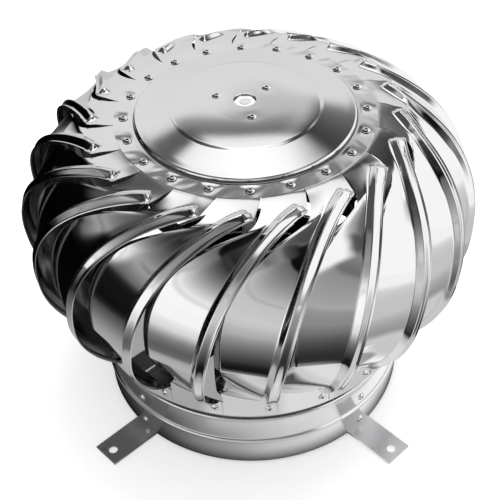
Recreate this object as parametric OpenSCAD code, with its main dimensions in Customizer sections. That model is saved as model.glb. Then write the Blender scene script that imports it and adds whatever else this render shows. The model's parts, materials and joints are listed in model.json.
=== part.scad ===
// Wind driven turbine chimney cap: a fixed neck on four strap feet, and a
// rotor of twenty curved blades that turns on two ball bearings.
// Millimetres, +Z up, origin on the rotor axis in the plane under the feet.
// Angles are measured about +Z from +X, so -90 is the front.

/* [Neck] */
// Outside diameter of the neck wall
neck_d = 300; // [296:1:304]
// Sheet thickness of the neck
neck_t = 0.8; // [0.6:0.1:1]
// Height of the centre of the rolled top rim
neck_rim_z = 65; // [64:0.5:66]
// Radius of the rolled top rim
neck_rim_r = 2.4; // [2:0.1:2.6]
// Height of the centre of the stiffening bead
neck_bead_z = 33; // [30:0.5:36]
// Outside radius of the bead section
neck_bead_r = 2.8; // [2.4:0.1:3]
// Angle of the lap seam
seam_angle = -58; // [-62:1:-56]

/* [Feet] */
// Width of a foot strap
foot_w = 29; // [26:1:32]
// Thickness of a foot strap
foot_t = 2; // [1.5:0.5:2]
// Reach of a foot from the axis
foot_reach = 202; // [200:1:206]
// Half the spacing of the fixing holes, along X and along Y
foot_hole_xy = 136; // [134:0.5:137]
// Diameter of a fixing hole
foot_hole_d = 9; // [7:0.5:10]
// Height of the upright leg of a foot
foot_leg_h = 58; // [56:1:59]

/* [Cross bars] */
// Width of a cross bar
bar_w = 29; // [24:1:30]
// Thickness of a cross bar
bar_t = 2.5; // [2:0.5:2.5]
// Height of the underside of the lower bar
bar_z = 52.5; // [52.5:0.5:53]

/* [Spindle] */
// Diameter at the lower bearing
spindle_low_d = 15; // [15:1:15]
// Diameter between the bearings
spindle_mid_d = 14; // [13:0.5:14.5]
// Diameter at the upper bearing
spindle_top_d = 10; // [10:1:10]
// Diameter of the thread through the cross bars
spindle_foot_d = 12; // [12:1:12]

/* [Cap] */
// Radius of the rim of the cap
cap_r = 116; // [115:0.5:117]
// Sheet thickness of the cap
cap_t = 1; // [0.8:0.1:1]
// Height of the top of the riveted rim
cap_rim_z = 305; // [305:1:305]
// Inner radius of the flat rim
cap_rim_in = 100; // [99:0.5:101]
// Height of the centre plateau
cap_top_z = 319; // [319:1:319]
// Radius of the flat plateau
cap_flat_r = 56; // [54:1:58]
// Radius of the centre hole
cap_hole_r = 10; // [10:0.5:11]
// Radius of the rim rivet circle
cap_rivet_r = 107.5; // [107:0.5:109]

/* [Blades] */
// Number of blades
blade_n = 20; // [20:1:20]
// Sheet thickness of a blade
blade_t = 0.8; // [0.5:0.1:0.8]
// Leading edge, first point: radius, height, angle
lead_a = [141, 302, -86.4]; // [-400:0.1:400]
// Leading edge, second point
lead_b = [156, 291, -105.6]; // [-400:0.1:400]
// Leading edge, third point
lead_c = [218.5, 282, -113]; // [-400:0.1:400]
// Leading edge, at the crease
lead_d = [207.3, 184, -117.1]; // [-400:0.1:400]
// Leading edge, pull of the run below the crease
lead_e = [203, 138, -119]; // [-400:0.1:400]
// Trailing edge, first point: radius, height, angle
trail_a = [145, 298, -107]; // [-400:0.1:400]
// Trailing edge, second point
trail_b = [172, 287, -134]; // [-400:0.1:400]
// Trailing edge, third point
trail_c = [199, 245, -133]; // [-400:0.1:400]
// Trailing edge, at the crease
trail_d = [194, 188, -133.5]; // [-400:0.1:400]
// Height of the raised bead beside the leading edge
bead_h = 4; // [2:0.5:4]
// Height of the fold beside the trailing edge
hem_h = 3; // [1:0.5:3.5]

/* [Lower hoop] */
// Outside radius of the hoop
hoop_r = 157.7; // [157.5:0.1:157.8]
// Sheet thickness of the hoop
hoop_t = 1; // [0.8:0.1:1]
// Height of the lower edge
hoop_z = 80; // [78:1:81]
// Height of the hoop
hoop_h = 18; // [17:1:18]
// Height of the hoop rivets
hoop_rivet_z = 91; // [90:0.5:92]
// Width of a spider arm
arm_w = 20; // [16:1:20]

/* [Hidden] */
$fn = 64;

neck_r = neck_d / 2;
neck_in = neck_r - neck_t;
pitch = 360 / blade_n;

// rivet angles: one rivet a blade on the cap, one on the hoop
cap_rivet_a0 = -86.9;
hoop_rivet_a0 = -119.2;
spider_a0 = hoop_rivet_a0 - pitch;
hub_rivet_a0 = 44.5;
hub_rivet_r = 26;

// feet and cross bars: flat strap faces inside the round neck wall
leg_out = neck_in - 0.8;          // outer face of a foot leg
leg_in = leg_out - foot_t;        // inner face of a foot leg
bar_end = leg_in;                 // outer face of a bar leg
rivet_z_hi = 45.5;
rivet_z_lo = 12;

// bearings: [bore r, outside r, width, pitch r, balls, low face z]
upper_b = [5, 15, 9, 10.1, 8, 302];
lower_b = [7.5, 16, 9, 11.75, 9, 94];
ball_r = 2.35;
groove_r = 2.43;

// blade grid
tab_top = cap_rim_z - cap_t;      // outer face of the top tab
hoop_face = hoop_r + 1.1;         // outer face of the bottom tab
fold_lead = [hoop_face, 101, -117.2];
fold_trail = [hoop_face, 113, -136.2];
tab_bottom_z = 82;

// ---- small helpers -------------------------------------------------------
function xyz(p) = [p[0] * cos(p[2]), p[0] * sin(p[2]), p[1]];
function quad(a, b, c, t) = let (s = 1 - t) s*s*a + 2*s*t*b + t*t*c;
function bez(a, b, c, d, t) = let (s = 1 - t) s*s*s*a + 3*s*s*t*b + 3*s*t*t*c + t*t*t*d;
function unit(v) = v / norm(v);

// blind rivet: head above z = 0, shank and set tail below, grip = sheet stack
module rivet(grip) {
  rotate_extrude($fn = 32) polygon([[1.1, 0.3], [1.1, 1.45], [1.7, 1.5], [2.9, 1.2], [3.7, 0.6], [4, 0],
    [2, 0], [2, -grip], [3, -grip], [3.1, -grip - 1.4], [2.2, -grip - 3.2], [0, -grip - 3.4], [0, 0.3]]);
}
// rivet with its head towards +X at radius r
module radial_rivet(a, r, z, grip) {
  rotate([0, 0, a]) translate([r, 0, z]) rotate([0, 90, 0]) rivet(grip);
}
module hole_x(r_in, r_out, z, d) {
  translate([r_in, 0, z]) rotate([0, 90, 0]) cylinder(h = r_out - r_in, d = d);
}
module hex(af, h) { cylinder(h = h, r = af / 2 / cos(30), $fn = 6); }

// ---- fixed part ----------------------------------------------------------
module neck_section(extra, top) {
  translate([neck_in + extra, foot_t]) square([neck_t, top - foot_t]);
  translate([neck_in + 0.1, neck_bead_z]) intersection() {
    circle(r = neck_bead_r + extra);
    translate([0, -6]) square([12, 12]);
  }
}
module neck_groove(extra) {
  translate([neck_in + 0.1, neck_bead_z]) circle(r = neck_bead_r - neck_t + extra);
}
module neck_collar() color("silver") difference() {
  union() {
    rotate_extrude($fn = 128) {
      difference() { neck_section(0, neck_rim_z); neck_groove(0); }
      translate([neck_in + 0.5, neck_rim_z]) circle(r = neck_rim_r, $fn = 32);
    }
    // the lapped end of the sheet, cut on a slant
    intersection() {
      rotate([0, 0, seam_angle]) rotate_extrude(angle = 20, $fn = 128)
        difference() { neck_section(neck_t, neck_rim_z - 3.4); neck_groove(neck_t); }
      rotate([0, 0, seam_angle]) translate([neck_r - 20, 0, 0]) rotate([-18, 0, 0])
        translate([0, 8, -20]) cube([40, 22, 120]);
    }
  }
  for (a = [45:90:315], z = [rivet_z_lo, rivet_z_hi])
    rotate([0, 0, a]) hole_x(neck_r - 10, neck_r + 10, z, 4.1);
}

module foot(a) color("darkgray") rotate([0, 0, a]) difference() {
  union() {
    translate([leg_in, -foot_w / 2, 0]) cube([foot_t, foot_w, foot_leg_h]);
    translate([leg_in, -foot_w / 2, 0]) cube([foot_reach - leg_in, foot_w, foot_t]);
  }
  for (z = [rivet_z_lo, rivet_z_hi]) hole_x(leg_in - 1, leg_out + 1, z, 4.1);
  translate([foot_hole_xy * sqrt(2), 0, -1]) cylinder(h = foot_t + 2, d = foot_hole_d);
}
module foot_front_left() { foot(-135); }
module foot_front_right() { foot(-45); }
module foot_rear_left() { foot(135); }
module foot_rear_right() { foot(45); }

module neck_rivets() color("whitesmoke")
  for (a = [45:90:315], z = [rivet_z_lo, rivet_z_hi])
    radial_rivet(a, neck_r + (a == 315 ? neck_t : 0), z, neck_r + (a == 315 ? neck_t : 0) - bar_end + bar_t);

module cross_bar(a, z0) color("gray") rotate([0, 0, a]) difference() {
  union() {
    translate([-bar_end, -bar_w / 2, z0]) cube([2 * bar_end, bar_w, bar_t]);
    for (s = [0, 180]) rotate([0, 0, s])
      translate([bar_end - bar_t, -bar_w / 2, 5]) cube([bar_t, bar_w, z0 + bar_t - 5]);
  }
  translate([0, 0, z0 - 1]) cylinder(h = bar_t + 2, d = spindle_foot_d);
  for (s = [0, 180], z = [rivet_z_lo, rivet_z_hi]) rotate([0, 0, s])
    hole_x(bar_end - bar_t - 1, bar_end + 1, z, 4.1);
}
module cross_bar_lower() { cross_bar(45, bar_z); }
module cross_bar_upper() { cross_bar(-45, bar_z + bar_t); }

module spindle() color("lightslategray") {
  z1 = bar_z + 2 * bar_t;
  difference() {
    rotate_extrude() polygon([[0, 39], [5, 39], [6, 40], [6, z1], [10, z1], [10, lower_b[5]],
      [7.5, lower_b[5]], [7.5, 106], [spindle_mid_d / 2, 107], [spindle_mid_d / 2, upper_b[5]],
      [5, upper_b[5]], [5, 316.6], [4.2, 317.4], [0, 317.4]]);
    // groove for the clip above the lower bearing
    translate([0, 0, lower_b[5] + lower_b[2]]) difference() {
      cylinder(h = 1.2, r = 9);
      translate([0, 0, -1]) cylinder(h = 4, r = 6.9);
    }
  }
}
module spindle_foot_washer() color("gainsboro") translate([0, 0, bar_z - 1.5]) difference() {
  cylinder(h = 1.5, r = 13);
  translate([0, 0, -1]) cylinder(h = 4, r = 6.2);
}
module spindle_foot_nut() color("gainsboro") translate([0, 0, bar_z - 11.5]) difference() {
  hex(19, 10);
  translate([0, 0, -1]) cylinder(h = 12, r = 6);
}
module spindle_top_washer() color("gainsboro") translate([0, 0, upper_b[5] + upper_b[2]]) difference() {
  cylinder(h = 1.2, r = 7.6);
  translate([0, 0, -1]) cylinder(h = 4, r = 5.1);
}
module spindle_top_nut() color("white") translate([0, 0, upper_b[5] + upper_b[2] + 1.2]) difference() {
  hex(17, 4.8);
  translate([0, 0, -1]) cylinder(h = 8, r = 5);
}
module lower_bearing_clip() color("dimgray") translate([0, 0, lower_b[5] + lower_b[2]]) difference() {
  cylinder(h = 1.1, r = 9.4);
  translate([0, 0, -1]) cylinder(h = 4, r = 7);
  translate([0, -2, -1]) cube([12, 4, 4]);
}

// ---- ball bearings -------------------------------------------------------
module inner_race(b) color("lightsteelblue") rotate_extrude() difference() {
  translate([b[0], b[5]]) square([b[3] - 1.5 - b[0], b[2]]);
  translate([b[3], b[5] + b[2] / 2]) circle(r = groove_r);
}
module outer_race(b) color("lightsteelblue") rotate_extrude() difference() {
  translate([b[3] + 1.5, b[5]]) square([b[1] - b[3] - 1.5, b[2]]);
  translate([b[3], b[5] + b[2] / 2]) circle(r = groove_r);
}
module balls(b) color("white") for (i = [0:b[4] - 1])
  rotate([0, 0, i * 360 / b[4]]) translate([b[3], 0, b[5] + b[2] / 2]) sphere(r = ball_r);
module cage(b) color("darkgoldenrod") translate([0, 0, b[5] + b[2] / 2]) difference() {
  union() {
    rotate_extrude() translate([b[3] - 1.1, 1.6]) square([2.2, 2]);
    for (i = [0:b[4] - 1]) rotate([0, 0, (i + 0.5) * 360 / b[4]])
      translate([b[3] - 1, -1.1, -1]) cube([2, 2.2, 3]);
  }
  for (i = [0:b[4] - 1]) rotate([0, 0, i * 360 / b[4]])
    translate([b[3], 0, 0]) sphere(r = ball_r + 0.1);
}
module lower_bearing_inner_race() { inner_race(lower_b); }
module upper_bearing_inner_race() { inner_race(upper_b); }
module lower_bearing_outer_race() { outer_race(lower_b); }
module upper_bearing_outer_race() { outer_race(upper_b); }
module lower_bearing_balls() { balls(lower_b); }
module upper_bearing_balls() { balls(upper_b); }
module lower_bearing_cage() { cage(lower_b); }
module upper_bearing_cage() { cage(upper_b); }

// ---- rotor: cap and hub --------------------------------------------------
module top_cap() color("gainsboro") difference() {
  t = cap_t;
  rotate_extrude($fn = 128) polygon([[cap_hole_r, cap_top_z], [cap_flat_r - 20, cap_top_z], [cap_flat_r - 2, cap_top_z - 1.2],
    [cap_flat_r + 3, cap_top_z - 2.7], [cap_flat_r + 8, cap_top_z - 4.6], [cap_flat_r + 12, cap_top_z - 5.2], [cap_rim_in - 6, cap_rim_z + 4.6],
    [cap_rim_in - 2.5, cap_rim_z + 3.6], [cap_rim_in - 0.6, cap_rim_z + 0.6], [cap_rim_in, cap_rim_z], [cap_r, cap_rim_z],
    [cap_r, cap_rim_z - t], [cap_rim_in - 0.6, cap_rim_z - t], [cap_rim_in - 1.6, cap_rim_z + 0.1],
    [cap_rim_in - 3.4, cap_rim_z + 2.8], [cap_rim_in - 6.4, cap_rim_z + 3.6], [cap_flat_r + 11.8, cap_top_z - 5.2 - t],
    [cap_flat_r + 7.6, cap_top_z - 4.6 - t], [cap_flat_r + 2.6, cap_top_z - 2.7 - t], [cap_flat_r - 2.1, cap_top_z - 1.2 - t],
    [cap_flat_r - 20, cap_top_z - t], [cap_hole_r, cap_top_z - t]]);
  for (i = [0:blade_n - 1]) rotate([0, 0, cap_rivet_a0 + i * pitch])
    translate([cap_rivet_r, 0, cap_rim_z - 5]) cylinder(h = 10, d = 4.1);
  for (i = [0:2]) rotate([0, 0, hub_rivet_a0 + i * 120])
    translate([hub_rivet_r, 0, cap_top_z - 5]) cylinder(h = 10, d = 4.1);
}
module cap_rivets() color("whitesmoke")
  for (i = [0:blade_n - 1]) rotate([0, 0, cap_rivet_a0 + i * pitch])
    translate([cap_rivet_r, 0, cap_rim_z]) rivet(cap_t + blade_t);

module bearing_hub() color("slategray") difference() {
  z0 = upper_b[5];
  rotate_extrude() polygon([[15, z0 - 4], [19, z0 - 4], [19, 315], [34, 315], [34, 318], [12, 318],
    [12, z0 + 9], [15, z0 + 9]]);
  for (i = [0:2]) rotate([0, 0, hub_rivet_a0 + i * 120])
    translate([hub_rivet_r, 0, 310]) cylinder(h = 10, d = 4.1);
  translate([0, 0, z0 - 1.3]) difference() {
    cylinder(h = 1.3, r = 15.8);
    translate([0, 0, -1]) cylinder(h = 4, r = 14);
  }
}
module hub_clip() color("dimgray") translate([0, 0, upper_b[5] - 1.2]) difference() {
  cylinder(h = 1.1, r = 15.6);
  translate([0, 0, -1]) cylinder(h = 4, r = 13.2);
  translate([0, -2.5, -1]) cube([20, 5, 4]);
}
module hub_rivets() color("whitesmoke") for (i = [0:2]) rotate([0, 0, hub_rivet_a0 + i * 120])
  translate([hub_rivet_r, 0, cap_top_z]) rivet(cap_t + 3);

// ---- rotor: hoop, spider and lower bearing housing -----------------------
module lower_hoop() color("silver") difference() {
  translate([0, 0, hoop_z]) cylinder(h = hoop_h, r = hoop_r, $fn = 128);
  translate([0, 0, hoop_z - 1]) cylinder(h = hoop_h + 2, r = hoop_r - hoop_t, $fn = 128);
  for (i = [0:blade_n - 1]) rotate([0, 0, hoop_rivet_a0 + i * pitch])
    hole_x(hoop_r - 5, hoop_r + 5, hoop_rivet_z, 4.1);
}
arm_out = hoop_r - hoop_t - 0.4;
module hoop_rivets() color("whitesmoke") for (i = [0:blade_n - 1])
  radial_rivet(hoop_rivet_a0 + i * pitch, hoop_face, hoop_rivet_z,
    (i + 1) % 5 == 0 ? hoop_face - arm_out + 2 : hoop_face - hoop_r + hoop_t + 0.06);
module lower_spider() color("gray") difference() {
  union() {
    for (i = [0:3]) rotate([0, 0, spider_a0 + i * 90]) {
      translate([0, -arm_w / 2, 84]) cube([arm_out, arm_w, 2]);
      translate([arm_out - 2, -arm_w / 2, 84]) cube([2, arm_w, 13]);
    }
    translate([0, 0, 84]) cylinder(h = 2, r = 36);
  }
  translate([0, 0, 80]) cylinder(h = 10, r = 20.1);
  for (i = [0:3]) rotate([0, 0, spider_a0 + i * 90]) {
    hole_x(arm_out - 5, arm_out + 2, hoop_rivet_z, 4.1);
    translate([28, 0, 80]) cylinder(h = 10, d = 4.1);
  }
}
module lower_bearing_housing() color("slategray") difference() {
  z0 = lower_b[5];
  rotate_extrude() polygon([[12.5, 82], [20, 82], [20, 86], [34, 86], [34, 89], [20, 89], [20, z0 + 10],
    [16, z0 + 10], [16, z0], [12.5, z0]]);
  for (i = [0:3]) rotate([0, 0, spider_a0 + i * 90])
    translate([28, 0, 80]) cylinder(h = 12, d = 4.1);
}
module housing_rivets() color("whitesmoke") for (i = [0:3]) rotate([0, 0, spider_a0 + i * 90])
  translate([28, 0, 89]) rivet(5);

// ---- rotor: blades -------------------------------------------------------
// columns across a blade, trailing side first: [share of width, raised by hem, raised by bead]
cols = [[0, 0, 0], [0.1, 1, 0], [0.45, 0.52, 0], [0.795, 0, 0], [0.86, 0, 0.93], [0.885, 0, 1], [1, 0, 0]];
// rows down a blade: [zone, place in the zone, hem on, bead on]
rows = concat([[0, 0, 0, 0], [0, 1, 0, 0], [0, 2, 0, 0]],
  [[1, 0, 0, 0], [1, 0.01, 0, 1], [1, 0.045, 0, 1]],
  [for (i = [1:14]) [1, 0.045 + 0.955 * i / 14, max(0, min(1, (i - 1) / 4)), 1]],
  [[2, 0.15, 1, 1], [2, 0.3, 0.6, 1], [2, 0.45, 0.2, 1], [2, 0.6, 0, 1], [2, 0.75, 0, 1], [2, 0.88, 0, 1],
   [2, 0.93, 0, 0], [2, 1, 0, 0]],
  [[3, 0.1, 0, 0], [3, 1, 0, 0]]);

function edge_pt(side, r) =
  r[0] == 0 ? (let (a = side == 0 ? -100.6 : -83) r[1] == 0 ? xyz([101.5, tab_top, a]) : r[1] == 1 ? xyz([118, tab_top, a]) :
    xyz(side == 0 ? [127, tab_top - 1.8, -101] : [127, tab_top - 0.8, -84.3])) :
  r[0] == 1 ? xyz(side == 0 ? bez(trail_a, trail_b, trail_c, trail_d, r[1]) : bez(lead_a, lead_b, lead_c, lead_d, r[1])) :
  xyz(side == 0 ? trail_d + (fold_trail - trail_d) * r[1] : quad(lead_d, lead_e, fold_lead, r[1]));
// a point of the plain surface, before the hem and the bead are raised
function plain_pt(r, v) =
  r[0] == 3 ? (let (a = -134.3 + 17.4 * v, z = (tab_bottom_z - 111 + 12 * v) * r[1] + 111 - 12 * v) xyz([hoop_face, z, a])) :
  (r[0] == 2 && r[1] == 1) ? xyz([hoop_face, 113 - 12 * v, -136.2 + 19 * v]) :
  (let (p = edge_pt(0, r), q = edge_pt(1, r)) p + (q - p) * v);

nr = len(rows);
nc = len(cols);
plain = [for (r = rows) [for (c = cols) plain_pt(r, c[0])]];
function lim(i, n) = max(0, min(n - 1, i));
function nrm(i, j) = unit(cross(plain[lim(i + 1, nr)][j] - plain[lim(i - 1, nr)][j],
  plain[i][lim(j + 1, nc)] - plain[i][lim(j - 1, nc)]));
function flat_nrm(i, j) = rows[i][0] == 0 ? [0, 0, 1] : rows[i][0] == 3 ? unit([plain[i][j][0], plain[i][j][1], 0]) : nrm(i, j);
outer = [for (i = [0:nr - 1]) for (j = [0:nc - 1])
  plain[i][j] + flat_nrm(i, j) * (hem_h * cols[j][1] * rows[i][2] + bead_h * cols[j][2] * rows[i][3])];
inner = [for (i = [0:nr - 1]) for (j = [0:nc - 1]) outer[i * nc + j] - flat_nrm(i, j) * blade_t];
np = nr * nc;
faces = concat(
  [for (i = [0:nr - 2]) for (j = [0:nc - 2]) for (k = [0, 1]) let (a = i * nc + j, b = a + 1, c = a + nc, d = c + 1)
    k == 0 ? [a, b, c] : [b, d, c]],
  [for (i = [0:nr - 2]) for (j = [0:nc - 2]) for (k = [0, 1]) let (a = np + i * nc + j, b = a + 1, c = a + nc, d = c + 1)
    k == 0 ? [a, c, b] : [b, c, d]],
  [for (i = [0:nr - 2]) for (k = [0, 1]) let (a = i * nc, c = a + nc) k == 0 ? [a, c, np + a] : [c, np + c, np + a]],
  [for (i = [0:nr - 2]) for (k = [0, 1]) let (a = i * nc + nc - 1, c = a + nc) k == 0 ? [a, np + a, c] : [c, np + a, np + c]],
  [for (j = [0:nc - 2]) for (k = [0, 1]) k == 0 ? [j, np + j, j + 1] : [j + 1, np + j, np + j + 1]],
  [for (j = [0:nc - 2]) for (k = [0, 1]) let (a = (nr - 1) * nc + j) k == 0 ? [a, a + 1, np + a] : [a + 1, np + a + 1, np + a]]);

module blade(i) color(i % 2 == 0 ? "lightgray" : "darkgray") rotate([0, 0, i * pitch]) difference() {
  polyhedron(points = concat(outer, inner), faces = faces, convexity = 6);
  rotate([0, 0, cap_rivet_a0]) translate([cap_rivet_r, 0, cap_rim_z - 5]) cylinder(h = 10, d = 4.1);
  rotate([0, 0, hoop_rivet_a0]) hole_x(hoop_r - 5, hoop_r + 5, hoop_rivet_z, 4.1);
}
module blade_01() { blade(0); }
module blade_02() { blade(1); }
module blade_03() { blade(2); }
module blade_04() { blade(3); }
module blade_05() { blade(4); }
module blade_06() { blade(5); }
module blade_07() { blade(6); }
module blade_08() { blade(7); }
module blade_09() { blade(8); }
module blade_10() { blade(9); }
module blade_11() { blade(10); }
module blade_12() { blade(11); }
module blade_13() { blade(12); }
module blade_14() { blade(13); }
module blade_15() { blade(14); }
module blade_16() { blade(15); }
module blade_17() { blade(16); }
module blade_18() { blade(17); }
module blade_19() { blade(18); }
module blade_20() { blade(19); }

neck_collar();
foot_front_left();
foot_front_right();
foot_rear_left();
foot_rear_right();
neck_rivets();
cross_bar_lower();
cross_bar_upper();
spindle();
spindle_foot_washer();
spindle_foot_nut();
lower_bearing_inner_race();
lower_bearing_clip();
upper_bearing_inner_race();
spindle_top_washer();
spindle_top_nut();
lower_bearing_balls();
lower_bearing_cage();
upper_bearing_balls();
upper_bearing_cage();
top_cap();
cap_rivets();
bearing_hub();
hub_rivets();
hub_clip();
upper_bearing_outer_race();
lower_hoop();
hoop_rivets();
lower_spider();
lower_bearing_housing();
housing_rivets();
lower_bearing_outer_race();
blade_01();
blade_02();
blade_03();
blade_04();
blade_05();
blade_06();
blade_07();
blade_08();
blade_09();
blade_10();
blade_11();
blade_12();
blade_13();
blade_14();
blade_15();
blade_16();
blade_17();
blade_18();
blade_19();
blade_20();
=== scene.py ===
import json
import math

import bpy
import numpy as np
from mathutils import Matrix, Vector


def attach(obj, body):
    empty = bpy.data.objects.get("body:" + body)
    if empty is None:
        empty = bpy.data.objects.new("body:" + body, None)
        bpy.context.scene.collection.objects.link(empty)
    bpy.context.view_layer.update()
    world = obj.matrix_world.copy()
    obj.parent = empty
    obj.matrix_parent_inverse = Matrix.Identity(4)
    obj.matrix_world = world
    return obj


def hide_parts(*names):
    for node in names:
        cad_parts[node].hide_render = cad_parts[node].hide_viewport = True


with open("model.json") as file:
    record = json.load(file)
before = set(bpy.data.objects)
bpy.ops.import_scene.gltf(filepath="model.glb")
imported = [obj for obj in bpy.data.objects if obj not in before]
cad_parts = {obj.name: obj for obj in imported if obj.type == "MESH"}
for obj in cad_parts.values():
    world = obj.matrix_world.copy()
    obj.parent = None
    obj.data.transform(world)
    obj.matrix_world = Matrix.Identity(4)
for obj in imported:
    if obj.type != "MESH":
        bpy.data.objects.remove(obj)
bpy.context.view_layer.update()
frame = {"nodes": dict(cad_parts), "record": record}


nodes = frame["nodes"]
MM = 0.001
rng = np.random.default_rng(7)

# ---------------------------------------------------------------- camera
# fitted to the rim, bead, hoop and rivet circles of the photograph
scene = bpy.context.scene
cam_data = bpy.data.cameras.new("photo_view")
cam = bpy.data.objects.new("photo_view", cam_data)
scene.collection.objects.link(cam)
scene.camera = cam
cam_pos = Vector((0.0304, -0.7647, 0.8449))
cam_fw = Vector((-0.0294, 0.7355, -0.6768)).normalized()
cam_r = cam_fw.cross(Vector((0, 0, 1))).normalized()
cam_u = cam_r.cross(cam_fw).normalized()
roll = -0.0357
r2 = math.cos(roll) * cam_r + math.sin(roll) * cam_u
u2 = -math.sin(roll) * cam_r + math.cos(roll) * cam_u
cam.matrix_world = Matrix(((r2.x, u2.x, -cam_fw.x, cam_pos.x),
                           (r2.y, u2.y, -cam_fw.y, cam_pos.y),
                           (r2.z, u2.z, -cam_fw.z, cam_pos.z),
                           (0, 0, 0, 1)))
cam_data.lens = 76.13
cam_data.sensor_width = 36
cam_data.clip_start = 0.05
cam_data.clip_end = 50


# ---------------------------------------------------------------- materials
def new_mat(name):
    m = bpy.data.materials.new(name)
    m.use_nodes = True
    nt = m.node_tree
    return m, nt, nt.nodes["Principled BSDF"], nt.nodes, nt.links


def noise(ns, ln, vec, scale, detail=3.0, rough=0.55):
    n = ns.new("ShaderNodeTexNoise")
    n.inputs["Scale"].default_value = scale
    n.inputs["Detail"].default_value = detail
    n.inputs["Roughness"].default_value = rough
    ln.new(vec, n.inputs["Vector"])
    return n.outputs["Fac"]


def ramp(ns, ln, fac, stops):
    r = ns.new("ShaderNodeValToRGB")
    e = r.color_ramp.elements
    while len(e) < len(stops):
        e.new(0.5)
    for el, (p, c) in zip(e, stops):
        el.position = p
        el.color = (c[0], c[1], c[2], 1) if hasattr(c, "__len__") else (c, c, c, 1)
    ln.new(fac, r.inputs["Fac"])
    return r.outputs["Color"]


def bump(ns, ln, height, strength, dist, prev=None):
    b = ns.new("ShaderNodeBump")
    b.inputs["Strength"].default_value = strength
    b.inputs["Distance"].default_value = dist
    ln.new(height, b.inputs["Height"])
    if prev is not None:
        ln.new(prev, b.inputs["Normal"])
    return b.outputs["Normal"]


def mapped(ns, ln, vec, scale):
    m = ns.new("ShaderNodeMapping")
    m.inputs["Scale"].default_value = scale
    ln.new(vec, m.inputs["Vector"])
    return m.outputs["Vector"]


def sheet_metal(name, tone, rough, grain_uv=None, grain=0.25, wave=0.35, wave_scale=9.0, smudge=0.05):
    """Bright rolled sheet: faint grain along it, slow waves, soft smudges in the gloss."""
    m, nt, bsdf, ns, ln = new_mat(name)
    tc = ns.new("ShaderNodeTexCoord")
    obj = tc.outputs["Object"]
    bsdf.inputs["Metallic"].default_value = 1.0
    if grain_uv:
        uv = ns.new("ShaderNodeUVMap")
        uv.uv_map = grain_uv
        gvec = mapped(ns, ln, uv.outputs["UV"], (5200, 60, 1))
    else:
        gvec = mapped(ns, ln, obj, (60, 5200, 5200))
    g = noise(ns, ln, gvec, 1.0, 2.0)
    blot = noise(ns, ln, obj, 22.0, 4.0)
    ln.new(ramp(ns, ln, blot, [(0.3, tuple(v * 0.965 for v in tone)), (0.7, tone)]), bsdf.inputs["Base Color"])
    mix = ns.new("ShaderNodeMath")
    mix.operation = "MULTIPLY_ADD"
    ln.new(g, mix.inputs[0])
    mix.inputs[1].default_value = smudge
    r0 = ramp(ns, ln, blot, [(0.3, rough - smudge * 0.5), (0.75, rough + smudge * 0.5)])
    ln.new(r0, mix.inputs[2])
    ln.new(mix.outputs[0], bsdf.inputs["Roughness"])
    w = noise(ns, ln, obj, wave_scale, 1.0)
    n = bump(ns, ln, w, wave, 0.004)
    n = bump(ns, ln, g, grain, 0.00002, n)
    ln.new(n, bsdf.inputs["Normal"])
    return m


def turned_metal(name, tone, rough, speck=0.03, metal=1.0):
    m, nt, bsdf, ns, ln = new_mat(name)
    tc = ns.new("ShaderNodeTexCoord")
    obj = tc.outputs["Object"]
    bsdf.inputs["Metallic"].default_value = metal
    lines = noise(ns, ln, mapped(ns, ln, obj, (30, 30, 2600)), 1.0, 2.0)
    blot = noise(ns, ln, obj, 90.0, 4.0)
    ln.new(ramp(ns, ln, blot, [(0.25, tuple(v * 0.86 for v in tone)), (0.75, tone)]), bsdf.inputs["Base Color"])
    ln.new(ramp(ns, ln, blot, [(0.2, rough - speck), (0.8, rough + speck * 2)]), bsdf.inputs["Roughness"])
    ln.new(bump(ns, ln, lines, 0.35, 0.00003), bsdf.inputs["Normal"])
    return m


STEEL = (0.86, 0.86, 0.87)
mat_blade = sheet_metal("blade_sheet", STEEL, 0.055, "sheet", wave=0.08, wave_scale=14.0, smudge=0.03)
# painted shade: the inner face of every blade is the same sheet steel made dark, so the inside of the rotor reads as
# shaded
mat_inner_painted_shade = sheet_metal("blade_inner_side", (0.26, 0.26, 0.27), 0.20, "sheet", wave=0.10, wave_scale=14.0)
mat_cap = sheet_metal("cap_sheet", STEEL, 0.085, None, wave=0.10, wave_scale=11.0, smudge=0.03)
mat_neck = sheet_metal("neck_sheet", (0.84, 0.84, 0.85), 0.13, "sheet", wave=0.10, wave_scale=8.0)
mat_hoop = sheet_metal("hoop_sheet", (0.8, 0.8, 0.81), 0.16, None, wave=0.08)
mat_strap = sheet_metal("strap_steel", (0.80, 0.80, 0.81), 0.25, None, grain=0.5, wave=0.05, smudge=0.08)
mat_rivet = turned_metal("rivet_alloy", (0.93, 0.93, 0.94), 0.11, speck=0.02)
mat_turned = turned_metal("turned_steel", (0.84, 0.85, 0.86), 0.38, metal=0.55)
mat_plated = turned_metal("plated_fastener", (0.97, 0.97, 0.96), 0.36, metal=0.3)
mat_bearing = turned_metal("bearing_steel", (0.78, 0.79, 0.80), 0.10)
mat_brass = turned_metal("cage_brass", (0.80, 0.60, 0.28), 0.28)


def plain_dark(name, col, rough):
    m, nt, bsdf, ns, ln = new_mat(name)
    tc = ns.new("ShaderNodeTexCoord")
    f = noise(ns, ln, tc.outputs["Object"], 300.0, 3.0)
    ln.new(ramp(ns, ln, f, [(0.3, tuple(c * 0.7 for c in col)), (0.7, col)]), bsdf.inputs["Base Color"])
    ln.new(ramp(ns, ln, f, [(0.3, rough - 0.05), (0.7, rough + 0.05)]), bsdf.inputs["Roughness"])
    ln.new(bump(ns, ln, f, 0.2, 0.00005), bsdf.inputs["Normal"])
    return m


mat_black = plain_dark("black_spring_steel", (0.05, 0.05, 0.055), 0.38)
# painted shade: the pit round the broken mandrel is near black, standing in for the shade inside the hole
mat_pit_painted_shade = plain_dark("rivet_pit_painted_shade", (0.03, 0.03, 0.03), 0.5)

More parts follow.
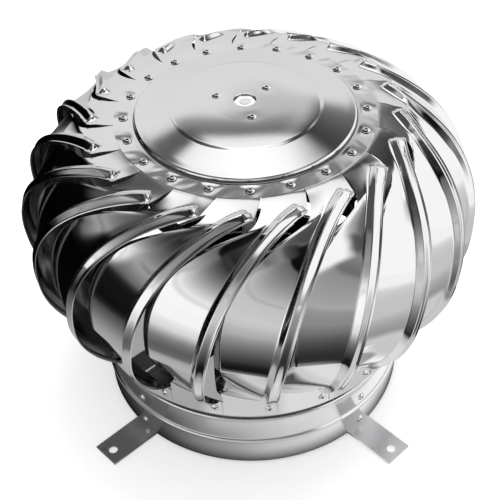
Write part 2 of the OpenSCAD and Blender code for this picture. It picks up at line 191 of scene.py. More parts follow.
BY_SLOT = {"bright_sheet": mat_hoop, "strap_steel": mat_strap, "rivet_alloy": mat_rivet, "turned_steel": mat_turned,
           "plated_fastener": mat_plated, "bearing_steel": mat_bearing, "cage_brass": mat_brass,
           "black_spring_steel": mat_black}
node_slot = {s["node"]: s["material_slot"] for s in frame["record"]["subparts"]}
for name, ob in nodes.items():
    mats = ob.data.materials
    mats.clear()
    mats.append(BY_SLOT[node_slot[name]])


# ---------------------------------------------------------------- mesh helpers
def make_object(name, verts, faces, mats, face_mats=None, uvs=None, sharp=40.0):
    me = bpy.data.meshes.new(name)
    me.from_pydata([tuple(v) for v in np.asarray(verts, float) * MM], [], [tuple(f) for f in faces])
    for m in mats:
        me.materials.append(m)
    if face_mats is not None:
        me.polygons.foreach_set("material_index", np.asarray(face_mats, np.int32))
    if uvs is not None:
        layer = me.uv_layers.new(name="sheet")
        idx = np.empty(len(me.loops), np.int32)
        me.loops.foreach_get("vertex_index", idx)
        layer.data.foreach_set("uv", (np.asarray(uvs, float)[idx]).astype(np.float32).ravel())
    me.validate()
    me.polygons.foreach_set("use_smooth", np.ones(len(me.polygons), bool))
    me.set_sharp_from_angle(angle=math.radians(sharp))
    me.update()
    ob = bpy.data.objects.new(name, me)
    scene.collection.objects.link(ob)
    return ob


def quad_grid(nr, nc, base=0, flip=False, wrap=False):
    f = []
    for i in range(nr - 1):
        for j in range(nc if wrap else nc - 1):
            a, b = base + i * nc + j, base + i * nc + (j + 1) % nc
            q = (a, a + nc, b + nc, b) if not flip else (a, b, b + nc, a + nc)
            f.append(q)
    return f


def smoothstep(x, a, b):
    t = np.clip((x - a) / (b - a), 0, 1)
    return t * t * (3 - 2 * t)


def lathe(profile, n=256, warp=None):
    """A closed profile of (radius, height) turned about Z; warp moves the points."""
    prof = np.asarray(profile, float)
    a = np.linspace(0, 2 * np.pi, n, endpoint=False)
    k = len(prof)
    v = np.empty((k, n, 3))
    v[..., 0] = prof[:, 0:1] * np.cos(a)
    v[..., 1] = prof[:, 0:1] * np.sin(a)
    v[..., 2] = prof[:, 1:2]
    if warp is not None:
        v = warp(v, prof, a)
    f = quad_grid(k, n, wrap=True, flip=True)
    f += [((k - 1) * n + j, j, (j + 1) % n, (k - 1) * n + (j + 1) % n)[::-1] for j in range(n)]
    return v.reshape(-1, 3), f


def resample(poly, step, closed=False):
    p = np.asarray(poly, float)
    if closed:
        p = np.vstack([p, p[:1]])
    out = []
    for a, b in zip(p[:-1], p[1:]):
        k = max(1, int(round(np.linalg.norm(b - a) / step)))
        out += [a + (b - a) * t for t in np.arange(k) / k]
    if not closed:
        out.append(p[-1])
    return np.array(out)


def smooth_line(p, passes, closed=False, keep=None):
    p = p.copy()
    for _ in range(passes):
        if closed:
            q = (np.roll(p, 1, 0) + 2 * p + np.roll(p, -1, 0)) / 4
        else:
            q = p.copy()
            q[1:-1] = (p[:-2] + 2 * p[1:-1] + p[2:]) / 4
        if keep is not None:
            q[keep] = p[keep]
        p = q
    return p


# ---------------------------------------------------------------- blades
PITCH = 18.0
LEAD = [(141, 302, -86.4), (156, 291, -105.6), (218.5, 282, -113), (207.3, 184, -117.1)]
LEAD_E = (203, 138, -119)
TRAIL = [(147, 297.5, -104.2), (172, 286.5, -134), (199, 245, -133), (194, 188, -133.5)]
TUCK = [(118, 304, -100.6), (127, 302.2, -101.0), TRAIL[0]]
HOOP_FACE = 158.8
FOLD_LEAD = (HOOP_FACE, 101, -117.2)
FOLD_TRAIL = (HOOP_FACE, 113, -136.2)
T_SHEET = 0.8
BEAD_H = 3.8
HEM_H = 2.9


def cyl(p):
    p = np.atleast_2d(np.asarray(p, float))
    a = np.radians(p[:, 2])
    return np.stack([p[:, 0] * np.cos(a), p[:, 0] * np.sin(a), p[:, 1]], 1)


def bez(q, t):
    a, b, c, d = [np.array(x, float)[None] for x in q]
    t = np.asarray(t, float)[:, None]
    s = 1 - t
    return s**3 * a + 3 * s * s * t * b + 3 * s * t * t * c + t**3 * d


def lerp(a, b, t):
    t = np.asarray(t, float)[:, None]
    return np.array(a, float)[None] * (1 - t) + np.array(b, float)[None] * t


def blade_mesh(name, turn, k):
    # the two edges, from the tab under the cap to the tab on the hoop
    t0 = np.linspace(0, 1, 5, endpoint=False)
    t0b = np.linspace(0, 1, 15, endpoint=False)
    t1 = np.concatenate([[0, 0.003, 0.007], np.linspace(0.014, 0.965, 80), [0.973, 0.980, 0.986, 0.991, 0.995, 0.998]])
    t2 = np.concatenate([[0, 0.003, 0.007, 0.012, 0.019, 0.028, 0.04], np.linspace(0.055, 1, 42, endpoint=False)])
    n0, n1, n2, n3 = len(t0b), len(t1), len(t2), 15
    t3 = np.linspace(0, 1, n3)
    s2 = (1 - t2)[:, None]
    q2 = t2[:, None]
    low = s2 * s2 * np.array(LEAD[3]) + 2 * s2 * q2 * np.array(LEAD_E) + q2 * q2 * np.array(FOLD_LEAD)
    lead = np.vstack([cyl(lerp((101.5, 304, -83), (118, 304, -83), t0)),
                      cyl((118, 304, -82.8)) * (1 - t0b[:, None]) + cyl(LEAD[0]) * t0b[:, None],
                      cyl(bez(LEAD, t1)), cyl(low)])
    trail = np.vstack([cyl(lerp((101.5, 304, -100.6), (118, 304, -100.6), t0)),
                       cyl(np.stack([np.interp(t0b, [0, 0.35, 1], [p[i] for p in TUCK]) for i in range(3)], 1)),
                       cyl(bez(TRAIL, t1)), cyl(lerp(TRAIL[3], FOLD_TRAIL, t2))])
    nu = len(lead)
    width = np.linalg.norm(lead - trail, axis=1)
    # columns: fixed places in mm from the leading edge and from the trailing edge
    s_lead = np.array([0, .5, 1.0, 1.6, 2.6, 3.8, 5.0, 6.0, 6.8, 7.3, 7.7, 8.0, 8.3, 8.7, 9.2, 9.8, 10.6, 11.4, 12.2, 13.0, 13.5, 14.0, 14.5, 15.5])
    s_trail = np.array([0, 1.2, 2.4, 3.6, 4.6, 5.4, 6.0, 6.6, 7.4, 8.6, 10])
    mid = np.linspace(0, 1, 16)[1:-1]
    nc = len(s_lead) + len(s_trail) + len(mid)
    V = np.empty((nu, nc))
    # the rows meet the leading edge at a slant, so the columns beside it are spread to keep their distance from it
    first = len(t0) + n0
    tangent = np.gradient(lead, axis=0)
    tangent[first] = lead[first + 1] - lead[first]
    tangent /= np.linalg.norm(tangent, axis=1, keepdims=True)
    across = (trail - lead) / width[:, None]
    slant = np.clip(np.linalg.norm(np.cross(tangent, across), axis=1), 0.5, 1)
    slant[:first] = slant[first]
    widen = np.minimum(1 / slant, (width - 13.0) / 15.5)
    for i in range(nu):
        w = width[i]
        a = s_trail / w
        b = 1 - s_lead[::-1] * widen[i] / w
        V[i] = np.concatenate([a, a[-1] + (b[0] - a[-1]) * mid, b])
    P = trail[:, None] + (lead - trail)[:, None] * V[..., None]
    # towards the hoop the panel bends round it
    zone2 = np.concatenate([np.zeros(nu - n2), smoothstep(t2, 0.72, 1.0)])
    ang = np.radians(-136.2 + 19 * V)
    arc = np.stack([HOOP_FACE * np.cos(ang), HOOP_FACE * np.sin(ang), 113 - 12 * V], -1)
    r_now = np.hypot(P[..., 0], P[..., 1])
    a_now = np.arctan2(P[..., 1], P[..., 0])
    on_round = np.stack([r_now * np.cos(a_now), r_now * np.sin(a_now), P[..., 2]], -1)
    sag = HOOP_FACE * (1 - np.cos(np.radians(9.5))) * (1 - (2 * V - 1) ** 2)
    out_r = np.stack([np.cos(a_now), np.sin(a_now), np.zeros_like(a_now)], -1)
    P = on_round + out_r * (sag * zone2[:, None])[..., None]
    # the tab on the hoop
    Vt = V[-1]
    a_top = -136.2 + 19 * Vt
    a_bot = -134.3 + 17.4 * Vt
    tab = []
    for t in t3:
        a = np.radians(a_top + (a_bot - a_top) * min(1.0, t * 6))
        z = (113 - 12 * Vt) * (1 - t) + 82 * t
        tab.append(np.stack([HOOP_FACE * np.cos(a), HOOP_FACE * np.sin(a), z], 1))
    P = np.concatenate([P, np.array(tab)], 0)
    V = np.vstack([V, np.repeat(Vt[None], n3, 0)])
    width = np.concatenate([width, np.full(n3, width[-1])])
    nr = len(P)
    # the sheet rolls over from its tab in a wide bend, which closes to a sharp one beside the bead
    for j in range(nc):
        run_j = np.concatenate([[0], np.cumsum(np.linalg.norm(np.diff(P[:, j], axis=0), axis=1))])
        run_j = run_j - run_j[first]
        sig = max(0.6, 6.5 * (1 - float(smoothstep(V[first, j], 0.50, 0.82)))) * np.exp(-(run_j / 30.0) ** 2)
        rows = np.nonzero(np.abs(run_j) < 36)[0]
        wgt = np.exp(-0.5 * ((run_j[rows][:, None] - run_j[None]) / (sig[rows][:, None] + 0.05)) ** 2) * np.gradient(run_j)[None]
        P[rows, j] = (wgt / wgt.sum(1, keepdims=True)) @ P[:, j]
    # round the other folds a little
    for _ in range(2):
        Q = P.copy()
        Q[1:-1] = (P[:-2] + 2 * P[1:-1] + P[2:]) / 4
        P = Q

    def normals(G):
        dr = np.empty_like(G)
        dr[1:-1] = G[2:] - G[:-2]
        dr[0] = G[1] - G[0]
        dr[-1] = G[-1] - G[-2]
        dc = np.empty_like(G)
        dc[:, 1:-1] = G[:, 2:] - G[:, :-2]
        dc[:, 0] = G[:, 1] - G[:, 0]
        dc[:, -1] = G[:, -1] - G[:, -2]
        n = np.cross(dr, dc)
        return n / np.maximum(np.linalg.norm(n, axis=2, keepdims=True), 1e-9)

    N = normals(P)
    # how far down the blade each row is, in mm from the fold under the cap, and up from the bottom fold
    fold_row = len(t0) + n0
    down = np.concatenate([[0], np.cumsum(np.linalg.norm(np.diff(P[:, -1], axis=0), axis=1))])
    down = down - down[fold_row]
    end_row = nu
    hem_on = smoothstep(down, 14.0, 55.0) * (1 - smoothstep(np.arange(nr), fold_row + n1, fold_row + n1 + n2 * 0.6))
    hem_on[:fold_row] = 0
    widen = np.concatenate([widen, np.full(n3, widen[-1])])
    # distance from the leading edge and along it, with the edge carried on straight past the fold,
    # so the end of the bead is cut square
    edge = P[fold_row:, -1]
    lead_dir = edge[6] - edge[0]
    lead_dir /= np.linalg.norm(lead_dir)
    ahead = np.arange(-24.0, 0.0, 1.0)
    spine = np.vstack([edge[0] + lead_dir * ahead[:, None], edge])
    spine_run = np.concatenate([ahead, down[fold_row:]])
    st = V * width[:, None]
    s = (1 - V) * width[:, None] / widen[:, None]
    along = np.repeat(down[:, None], nc, 1)
    near = (s < 24) & (np.arange(nr)[:, None] > fold_row - 20) & (np.arange(nr)[:, None] < fold_row + n1)
    pts = P[near]
    far = np.linalg.norm(pts[:, None] - spine[None], axis=2)
    hit = far.argmin(1)
    sp_t = np.gradient(spine, axis=0)
    sp_t /= np.linalg.norm(sp_t, axis=1, keepdims=True)
    off = pts - spine[hit]
    step = (off * sp_t[hit]).sum(1)
    s_true = np.linalg.norm(off - step[:, None] * sp_t[hit], axis=1)
    fade = smoothstep(down, 60, 110)
    fade = np.repeat(fade[:, None], nc, 1)[near]
    s[near] = s_true * (1 - fade) + s[near] * fade
    along[near] = (spine_run[hit] + step) * (1 - fade) + along[near] * fade
    bead = BEAD_H * np.interp(s, [0, 0.5, 1.0, 1.6, 2.6, 6.8, 7.3, 7.7, 8.0, 8.3, 8.7, 13.0, 13.5, 14.0, 14.5],
                             [0.34, 0.30, 0.13, 0.09, 0.17, 0.88, 0.95, 0.99, 1.0, 0.985, 0.93, 0.12, 0.05, 0.015, 0])
    bead_on = smoothstep(along, -0.2, 1.8) * (1 - smoothstep(down, down[end_row] - 9, down[end_row] - 3))[:, None]
    flat = np.clip((1 - V) * width[:, None] - 15.5 * widen[:, None], 0, None) / np.maximum(width[:, None] - 15.5 * widen[:, None] - 6, 1)
    hem = HEM_H * np.where(st < 6.0, st / 6.0, np.clip(flat, 0, 1))
    # ease the bend line of the hem
    for _ in range(2):
        hem[:, 1:-1] = (hem[:, :-2] + 2 * hem[:, 1:-1] + hem[:, 2:]) / 4
    O = P + N * (bead * bead_on + hem * hem_on[:, None])[..., None]
    # no two sheets are pressed quite alike
    wob = rng.normal(0, 1, 6)
    u = np.linspace(0, 1, nr)[:, None]
    body = np.sin(np.pi * np.clip((u - 0.13) / 0.7, 0, 1)) ** 2
    O = O + N * (0.22 * body * (wob[0] * np.sin(2 * np.pi * u + wob[1]) + 0.6 * wob[2] * np.sin(4 * np.pi * u + wob[3])
                                 + 0.5 * wob[4] * (2 * V - 1)))[..., None]
    NO = normals(O)
    NO[:fold_row - 1] = (0, 0, 1)
    I = O - NO * T_SHEET
    ca, sa = math.cos(math.radians(turn)), math.sin(math.radians(turn))
    R = np.array([[ca, -sa, 0], [sa, ca, 0], [0, 0, 1]])
    verts = np.vstack([O.reshape(-1, 3) @ R.T, I.reshape(-1, 3) @ R.T])
    n = nr * nc
    faces = quad_grid(nr, nc, 0) + quad_grid(nr, nc, n, flip=True)
    # the inner side's faces take the darkened steel, a painted shade
    side = [0] * ((nr - 1) * (nc - 1)) + [1] * ((nr - 1) * (nc - 1))
    rim = [i * nc for i in range(nr)] + [(nr - 1) * nc + j for j in range(1, nc)] \
        + [i * nc + nc - 1 for i in range(nr - 2, -1, -1)] + [j for j in range(nc - 2, 0, -1)]
    for a, b in zip(rim, rim[1:] + rim[:1]):
        faces.append((a, n + a, n + b, b))
        side.append(0)
    uv = np.stack([V * width[:, None] * MM, np.repeat(down[:, None], nc, 1) * MM + 0.37 * k], -1).reshape(-1, 2)
    return make_object(name, verts, faces, [mat_blade, mat_inner_painted_shade], face_mats=side, uvs=np.vstack([uv, uv]), sharp=38)


for k in range(20):
    ob = blade_mesh("blade_sheet_%02d" % (k + 1), k * PITCH, k)
    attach(ob, "rotor")
    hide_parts("blade_%02d" % (k + 1))

# ---------------------------------------------------------------- disc cap
# a shallow dome out to a thin step, then a cone down to the groove inside the rim
DOME = [(r, 319 - 3.4 * (r / 65.5) ** 3) for r in (10, 18, 26, 33, 39, 44, 48, 52, 55, 58, 60.5, 62.5, 64, 65.3)]
CAP_TOP = DOME + [(68.3, 314.6), (94, 309.5), (96.6, 309.0), (97.6, 308.4), (98.4, 305.2), (98.9, 304.8), (99.6, 305.03), (116, 304.7)]
CAP_LOW = [(116, 304), (98.6, 304), (97.5, 304.4), (96.6, 307.6), (96.0, 308.1), (93.8, 308.5), (68.0, 313.6)] \
    + [(r, z - 1) for r, z in DOME[::-1]]


def cap_profile(poly, passes):
    p = resample(poly, 0.45)
    # fine points at the step and the groove, coarser ones between
    r = p[:, 0]
    fine = ((r > 58) & (r < 70.5)) | ((r > 94.5) & (r < 101.5)) | (np.arange(len(p)) % 3 == 0)
    fine[-1] = True
    return smooth_line(p[fine], passes, keep=[0, -1])


top_line = cap_profile(CAP_TOP, 2)
cap_prof = np.vstack([top_line, cap_profile(CAP_LOW, 2)])
# painted shade: the thin wall of the step inside the rim gets a near-black material, standing in for the dark line of
# shade there
mat_step_painted_shade = plain_dark("step_painted_shade", (0.045, 0.045, 0.047), 0.45)
step_shade_faces = [1 if i + 1 < len(top_line) and 97.9 < cap_prof[i, 0] < 98.75 else 0 for i in range(len(cap_prof))]


rim_off = np.stack([rng.normal(0.4, 0.5, 20), rng.normal(0, 0.8, 20), rng.uniform(0.16, 0.30, 20)], 1)
rim_waves = [(int(f), amp, rng.uniform(0, 6.28)) for f, amp in ((33, 0.05), (57, 0.035), (91, 0.02))]


def cap_warp(v, prof, a):
    r = prof[:, 0:1]
    # the rim is drawn down a little at each rivet, and the disc is not dead flat
    rim = smoothstep(r, 100.5, 104)
    v[..., 2] -= rim * 0.30 * (0.5 + 0.5 * np.cos(20 * (a[None] - math.radians(-86.9)))) ** 2
    v[..., 2] -= smoothstep(r, 12, 30) * (1 - smoothstep(r, 90, 97)) * 0.12 * (1 + np.sin(2 * a[None] + 0.6) * (r / 100))
    # the sheet is dished round each rivet and is uneven between them
    for i in range(20):
        t = math.radians(-86.9 + 18 * i)
        dx = v[..., 0] - (107.5 + rim_off[i, 0]) * math.cos(t) + rim_off[i, 1] * math.sin(t)
        dy = v[..., 1] - (107.5 + rim_off[i, 0]) * math.sin(t) - rim_off[i, 1] * math.cos(t)
        v[..., 2] -= rim * rim_off[i, 2] * np.exp(-(dx * dx + dy * dy) / (2 * 4.6**2))
    for f, amp, ph in rim_waves:
        v[..., 2] += smoothstep(r, 101, 107) * amp * np.sin(f * a[None] + ph + 0.35 * (r - 100))
    hub = np.zeros(v.shape[:2])
    for h in (44.5, 164.5, -75.5):
        dx = v[..., 0] - 26 * math.cos(math.radians(h))
        dy = v[..., 1] - 26 * math.sin(math.radians(h))
        hub = hub + np.exp(-(dx * dx + dy * dy) / 60.0)
    v[..., 2] -= 0.12 * hub
    return v


cv, cf = lathe(cap_prof, 380, cap_warp)
cap = make_object("cap_disc", cv, cf, [mat_cap, mat_step_painted_shade], face_mats=[m for m in step_shade_faces for _ in range(380)], sharp=40)
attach(cap, "rotor")
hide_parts("top_cap")

# ---------------------------------------------------------------- neck
NECK_IN, NECK_T = 149.2, 0.8


def neck_object():
    # outer line up the wall: plain skirt, bead, wall, rolled rim; then down inside
    def bead_out(z):
        return np.sqrt(np.maximum(2.8**2 - (z - 33) ** 2, 0))
    zs = list(np.arange(2, 29.6, 1.5)) + list(33 - 3.4 * np.cos(np.linspace(0, np.pi, 25))) + list(np.arange(37.5, 62.4, 1.5))
    zs = np.array(zs)
    outer = []
    for z in zs:
        b = max(0.0, 149.3 + bead_out(z) - 150.0)
        outer.append((150.0 + b, z))
    outer = np.array(outer)
    sm = smooth_line(outer, 2, keep=[0, -1])
    rim_c = (149.7, 65.0)
    th = np.radians(np.linspace(-80, 235, 34))
    rim = [(rim_c[0] + 2.4 * math.cos(t), rim_c[1] + 2.4 * math.sin(t)) for t in th]
    inner = [(149.2, 62.4)] + [(149.2, z) for z in np.arange(60.5, 37.5, -1.5)]
    inner += [(149.2 + max(0.0, 0.1 + math.sqrt(max(2.0**2 - (z - 33) ** 2, 0))), z) for z in 33 + 2.9 * np.cos(np.linspace(0, np.pi, 17))]
    inner += [(149.2, z) for z in np.arange(28.5, 2.5, -1.5)] + [(149.2, 2.0)]
    prof = np.vstack([sm, rim, inner])
    n_out = len(sm)
    # columns round the neck, with a doubled one at the lap
    n = 360
    seam0 = -58.0
    cols = np.concatenate([np.linspace(0, 360, n, endpoint=False), [359.985]])
    k, nc = len(prof), len(cols)
    v = np.empty((k, nc, 3))
    for i, (r, z) in enumerate(prof):
        a = np.radians(seam0 + cols) + math.radians(-0.115 * (z - 61))  # the lap leans
        lift = np.zeros(nc)
        if i < n_out and z < 61.5:
            lift = 0.75 * (1 - smoothstep(cols, 9, 24)) * (1 - smoothstep(z, 59.5, 61.5))
            lift[cols > 359.97] = 0
        rr = r + lift
        v[i, :, 0] = rr * np.cos(a)
        v[i, :, 1] = rr * np.sin(a)
        v[i, :, 2] = z
    f = quad_grid(k, nc, wrap=True, flip=True)
    f += [((k - 1) * nc + j, j, (j + 1) % nc, (k - 1) * nc + (j + 1) % nc)[::-1] for j in range(nc)]
    arc = np.repeat(np.radians(cols)[None] * 0.15, k, 0)
    hgt = np.repeat(prof[:, 1:2] * MM, nc, 1)
    uv = np.stack([hgt, arc], -1).reshape(-1, 2)
    return make_object("neck_shell", v.reshape(-1, 3), f, [mat_neck], uvs=uv, sharp=35)


neck = neck_object()
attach(neck, "base")
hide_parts("neck_collar")

# ---------------------------------------------------------------- rivets
RIVET_HEAD = [(0, 0.75), (0.55, 0.72), (0.75, 0.35), (1.05, 0.3), (1.12, 0.5), (1.15, 1.4), (1.3, 1.6), (1.6, 1.67), (1.95, 1.64),
              (2.3, 1.49), (2.7, 1.23), (3.1, 0.95), (3.5, 0.64), (3.8, 0.38), (3.98, 0.14), (3.98, 0.0), (2.0, -0.01)]


def rivet_parts(grip, seed):
    prof = np.array(RIVET_HEAD + [(2.0, -grip), (3.0, -grip - 0.02), (3.15, -grip - 0.9), (2.9, -grip - 2.0), (2.2, -grip - 3.1), (1.2, -grip - 3.35), (0.0, -grip - 3.4)])
    n = 36
    a = np.linspace(0, 2 * np.pi, n, endpoint=False)
    v = np.stack([prof[:, 0:1] * np.cos(a), prof[:, 0:1] * np.sin(a), np.repeat(prof[:, 1:2], n, 1)], -1)
    # the broken mandrel's end is tilted
    tilt = rng.normal(0, 0.10, 2)
    for i in range(3):
        v[i, :, 2] += v[i, :, 0] * tilt[0] + v[i, :, 1] * tilt[1]
    f = quad_grid(len(prof), n, wrap=True)
    # the mandrel end and pit walls take the near-black painted shade
    fm = [1 if i < 5 else 0 for i in range(len(prof) - 1) for _ in range(n)]
    return v.reshape(-1, 3), f, fm


def rivet_group(name, places):
    """places: (point, outward direction, grip)"""
    V, F, M = [], [], []
    base = 0
    for i, (p, d, grip) in enumerate(places):
        v, f, fm = rivet_parts(grip, i)
        d = Vector(d).normalized()
        rot = np.array(d.to_track_quat("Z", "Y").to_matrix()) @ np.array(Matrix.Rotation(rng.uniform(0, 6.28), 3, "Z"))
        V.append(v @ rot.T + np.array(p))
        F += [tuple(base + x for x in q) for q in f]
        M += fm
        base += len(v)
    return make_object(name, np.vstack(V), F, [mat_rivet, mat_pit_painted_shade], face_mats=M, sharp=50)


def round_pt(r, deg, z):
    return (r * math.cos(math.radians(deg)), r * math.sin(math.radians(deg)), z)


def radial(deg):
    return (math.cos(math.radians(deg)), math.sin(math.radians(deg)), 0)


HOOP_A0 = -119.2
groups = [
    ("cap_rivets", "rotor", [(round_pt(107.5, -86.9 + 18 * i, 304.92), (0, 0, 1), 1.8) for i in range(20)]),
    ("hub_rivets", "rotor", [(round_pt(26, 44.5 + 120 * i, 318.75), (0, 0, 1), 4.0) for i in range(3)]),
    ("hoop_rivets", "rotor", [(round_pt(HOOP_FACE, HOOP_A0 + 18 * i, 91), radial(HOOP_A0 + 18 * i), 4.5 if (i + 1) % 5 == 0 else 2.1) for i in range(20)]),
    ("housing_rivets", "rotor", [(round_pt(28, HOOP_A0 - 18 + 90 * i, 89), (0, 0, 1), 5.0) for i in range(4)]),
    ("neck_rivets", "base", [(round_pt(150.0 + (0.8 if a == 315 else 0), a, z), radial(a), 6.1) for a in (45, 135, 225, 315) for z in (12, 45.5)]),
]
for node, body, places in groups:
    ob = rivet_group(node + "_set", places)
    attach(ob, body)
    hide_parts(node)

# ---------------------------------------------------------------- floor, light
floor_me = bpy.data.meshes.new("floor")
floor_me.from_pydata([(-14, -14, -0.0002), (14, -14, -0.0002), (14, 14, -0.0002), (-14, 14, -0.0002)], [], [(0, 1, 2, 3)])
floor = bpy.data.objects.new("floor", floor_me)
scene.collection.objects.link(floor)
m, nt, bsdf, ns, ln = new_mat("floor_paper")
tc = ns.new("ShaderNodeTexCoord")
f = noise(ns, ln, tc.outputs["Object"], 400.0, 4.0)
ln.new(ramp(ns, ln, f, [(0.3, (0.88, 0.88, 0.88)), (0.7, (0.90, 0.90, 0.90))]), bsdf.inputs["Base Color"])
bsdf.inputs["Roughness"].default_value = 0.85
bsdf.inputs["Specular IOR Level"].default_value = 0.2
bsdf.inputs["Emission Color"].default_value = (1, 1, 1, 1)
bsdf.inputs["Emission Strength"].default_value = 0.30
ln.new(bump(ns, ln, f, 0.05, 0.0002), bsdf.inputs["Normal"])
floor_me.materials.append(m)
floor.visible_glossy = False

scene.view_settings.view_transform = "Standard"
scene.view_settings.look = "None"
scene.view_settings.exposure = 0.0

world = bpy.data.worlds.new("studio")
scene.world = world
world.use_nodes = True
wn, wl = world.node_tree.nodes, world.node_tree.links
bg = wn["Background"]
bg.inputs["Color"].default_value = (1.0, 1.0, 1.0, 1)
bg.inputs["Strength"].default_value = 1.0


def area(name, loc, target, sx, sy, power, color=(1, 1, 1)):
    d = bpy.data.lights.new(name, "AREA")
    d.shape = "RECTANGLE"
    d.size, d.size_y = sx, sy
    d.energy = power
    d.color = color
    o = bpy.data.objects.new(name, d)
    scene.collection.objects.link(o)
    v = Vector(target) - Vector(loc)
    o.matrix_world = Matrix.Translation(Vector(loc)) @ v.to_track_quat("-Z", "Y").to_matrix().to_4x4()
    o.visible_glossy = False
    return o


area("top_box", (0.3, 0.5, 2.2), (0, 0, 0.2), 1.6, 1.2, 25)


# what the bright sheet mirrors: a tent of white cards and black flags round the object, and the table under it.
# A card is (azimuth from, to, height angle from, to, softness of each, brightness at its foot, brightness at its head).
def soft(x, lo, hi, w):
    return smoothstep(x, lo - w, lo + w) * (1 - smoothstep(x, hi - w, hi + w))


CARDS = [
    (-64, 128, -95, 95, 10, 5, 0.62, 0.62),
    (128, 200, -95, 34, 5, 8, 0.05, 0.05),
    (128, 190, 34, 95, 5, 6, 0.30, 0.30),
    (-188, -153, -95, 6, 4, 5, 0.08, 0.14),
    (-188, -153, 6, 30, 4, 5, 0.34, 0.66),
    (-188, -153, 30, 66, 4, 4, 0.64, 0.12),
    (-188, -153, 66, 95, 4, 4, 0.30, 0.10),
    (-153, -110, -95, 14, 5, 5, 0.97, 0.97),
    (-153, -110, 14, 62, 5, 4, 0.97, 0.14),
    (-153, -110, 62, 95, 5, 4, 0.13, 0.34),
    (-110, -70, -95, 18, 5, 5, 0.78, 0.75),
    (-110, -70, 18, 57, 5, 1.2, 0.74, 0.38),
    (-110, -48, 57, 80, 5, 1.2, 0.07, 0.12),
    (-70, -46, -95, 30, 4, 6, 0.66, 0.54),
    (-70, -46, 30, 52, 4, 4, 0.40, 0.52),
    (-70, -46, 52, 66, 4, 4, 0.34, 0.20),
    (-46, -18, 48, 80, 4, 4, 0.34, 0.26),
    (-20, 12, 54, 67, 5, 3, 0.42, 0.44),
    (-46, 58, -95, 46, 3, 6, 0.96, 0.96),
    (12, 32, 44, 57, 4, 2, 1.0, 1.0),
    (32, 64, 47, 66, 4, 3, 0.24, 0.24),
    (-24, 34, 57, 83, 5, 2, 0.42, 0.20),
    (34, 76, 62, 95, 5, 4, 0.95, 0.95),
    (150, 190, 71, 86, 8, 2, 0.70, 0.70),
    (-400, 400, 85, 99, 5, 2, 0.85, 0.85),
    (60, 128, -95, 42, 6, 3, 0.80, 0.86),
    (78, 93, 32, 41, 4, 3, 0.74, 0.72),
    (56, 77, 31, 50, 4, 3, 0.46, 0.16),
    (102, 117, 40, 60, 4, 4, 0.84, 0.84),
    (120, 132, 44, 60, 3, 3, 0.16, 0.16),
    (80, 112, 38.9, 46.6, 5, 1.2, 0.58, 0.36),
    (70, 120, 48.4, 87, 5, 1.1, 0.90, 1.24),
    (106, 124, 42.5, 51.0, 3, 1.2, 0.38, 0.30),
]


def tent(az, el):
    t = np.full(az.shape, 0.50)
    for a0, a1, e0, e1, wa, we, v0, v1 in CARDS:
        m = np.zeros(az.shape)
        for turn in (-360, 0, 360):
            m = np.maximum(m, soft(az + turn, a0, a1, wa))
        m = m * soft(el, e0, e1, we)
        lo, hi = max(e0, -10), min(e1, 90)
        v = v0 + (v1 - v0) * np.clip((el - lo) / (hi - lo), 0, 1)
        t = t * (1 - m) + v * m
    return t


def table(az, r):
    front = np.interp(r, [0, 0.2, 0.26, 0.31, 0.325, 0.35, 0.39, 0.46, 0.58, 0.80, 1.4, 2.5],
                      [0.7, 0.80, 0.76, 0.62, 0.10, 0.10, 0.24, 0.36, 0.50, 0.67, 0.76, 0.78])
    front_left = np.interp(r, [0, 0.2, 0.30, 0.34, 0.36, 0.41, 0.51, 0.60, 0.69, 1.2],
                           [0.6, 0.62, 0.68, 0.66, 0.40, 0.36, 0.50, 0.70, 0.84, 0.96])
    side_left = np.interp(r, [0, 0.23, 0.31, 0.35, 0.43, 0.54, 0.62, 0.74, 1.3],
                          [0.7, 0.68, 0.61, 0.55, 0.41, 0.29, 0.15, 0.09, 0.10])
    mid = np.interp(r, [0, 0.2, 0.27, 0.325, 0.345, 0.38, 0.43, 0.5, 0.61, 0.8, 1.2, 3.0],
                    [0.8, 0.86, 0.85, 0.70, 0.18, 0.19, 0.25, 0.33, 0.44, 0.53, 0.55, 0.64])
    right = np.interp(r, [0, 0.2, 0.33, 0.36, 0.43, 0.49, 0.74, 1.03, 1.5], [0.8, 0.76, 0.78, 0.57, 0.66, 0.75, 0.76, 0.80, 0.94])
    left = np.interp(r, [0, 0.2, 0.25, 0.30, 1.0], [0.5, 0.40, 0.16, 0.06, 0.04])
    back = np.interp(r, [0, 0.2, 0.5, 1.0], [0.6, 0.7, 0.75, 0.75])
    t = front.copy()
    for a0, a1, w, v in ((-75, -50, 3, mid), (-50, 60, 3, right), (58, 126, 8, back), (124, 190, 6, left),
                         (-172, -149, 4, side_left), (-149, -111, 4, front_left)):
        m = np.zeros(az.shape)
        for turn in (-360, 0, 360):
            m = np.maximum(m, soft(az + turn, a0, a1, w))
        t = t * (1 - m) + v * m
    # close to the neck the paper shades from left to right
    near = np.interp(az, [-180, -150, -128, -113, -95, -82, -68, -54, -39, -20, 60, 120, 180],
                     [0.28, 0.28, 0.34, 0.50, 0.62, 0.74, 0.80, 0.87, 0.92, 0.95, 0.9, 0.5, 0.28])
    m = 1 - smoothstep(r, 0.186, 0.202)
    t = t * (1 - m) + near * m
    # under the neck it is dark
    return t * smoothstep(r, 0.148, 0.156)


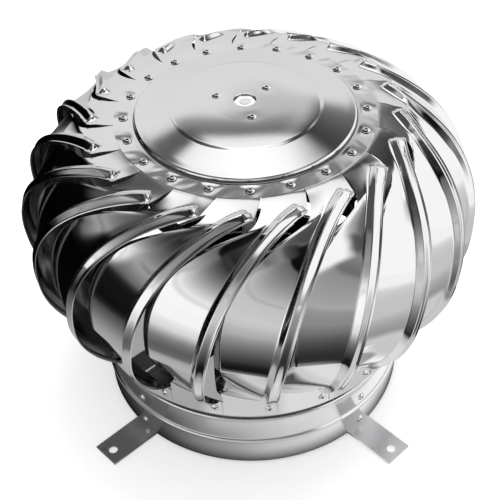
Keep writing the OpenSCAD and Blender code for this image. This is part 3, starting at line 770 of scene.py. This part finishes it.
def glow_object(name, verts, faces, tone, gain=1.18):
    me = bpy.data.meshes.new(name)
    me.from_pydata([tuple(v) for v in verts], [], faces)
    lin = np.power(np.clip(tone, 0, 2), 2.2) * gain
    layer = me.color_attributes.new(name="glow", type="FLOAT_COLOR", domain="POINT")
    col = np.ones((len(verts), 4), np.float32)
    col[:, :3] = lin[:, None]
    layer.data.foreach_set("color", col.ravel())
    mt = bpy.data.materials.new(name)
    mt.use_nodes = True
    t = mt.node_tree
    t.nodes.clear()
    vc = t.nodes.new("ShaderNodeVertexColor")
    vc.layer_name = "glow"
    em = t.nodes.new("ShaderNodeEmission")
    out = t.nodes.new("ShaderNodeOutputMaterial")
    t.links.new(vc.outputs["Color"], em.inputs["Color"])
    t.links.new(em.outputs["Emission"], out.inputs["Surface"])
    mt.cycles.emission_sampling = "NONE"
    me.materials.append(mt)
    ob = bpy.data.objects.new(name, me)
    scene.collection.objects.link(ob)
    ob.visible_camera = False
    ob.visible_diffuse = False
    ob.visible_transmission = False
    ob.visible_volume_scatter = False
    ob.visible_shadow = False
    return ob


def tent_object():
    el = np.linspace(-20, 89.5, 112)
    az = np.arange(0, 360, 2.0) - 180
    E, A = np.meshgrid(el, az, indexing="ij")
    er, ar = np.radians(E), np.radians(A)
    v = 12.0 * np.stack([np.cos(er) * np.cos(ar), np.cos(er) * np.sin(ar), np.sin(er)], -1)
    v[..., 2] += 0.17
    faces = quad_grid(len(el), len(az), wrap=True)
    verts = np.vstack([v.reshape(-1, 3), [[0, 0, 12.17]]])
    last = len(verts) - 1
    base = (len(el) - 1) * len(az)
    faces += [(base + j, base + (j + 1) % len(az), last) for j in range(len(az))]
    tone = np.append(tent(A, E).ravel(), 1.0)
    return glow_object("tent", verts, faces, tone)


def table_object():
    r = np.concatenate([np.arange(0.0, 1.3, 0.015), np.arange(1.3, 4, 0.2), [6, 9, 11.6]])
    az = np.arange(0, 360, 2.0) - 180
    Rr, A = np.meshgrid(r, az, indexing="ij")
    ar = np.radians(A)
    v = np.stack([Rr * np.cos(ar), Rr * np.sin(ar), np.full(Rr.shape, -0.0005)], -1)
    return glow_object("table_top", v.reshape(-1, 3), quad_grid(len(r), len(az), wrap=True), table(A, Rr).ravel())


tent_object()
table_object()
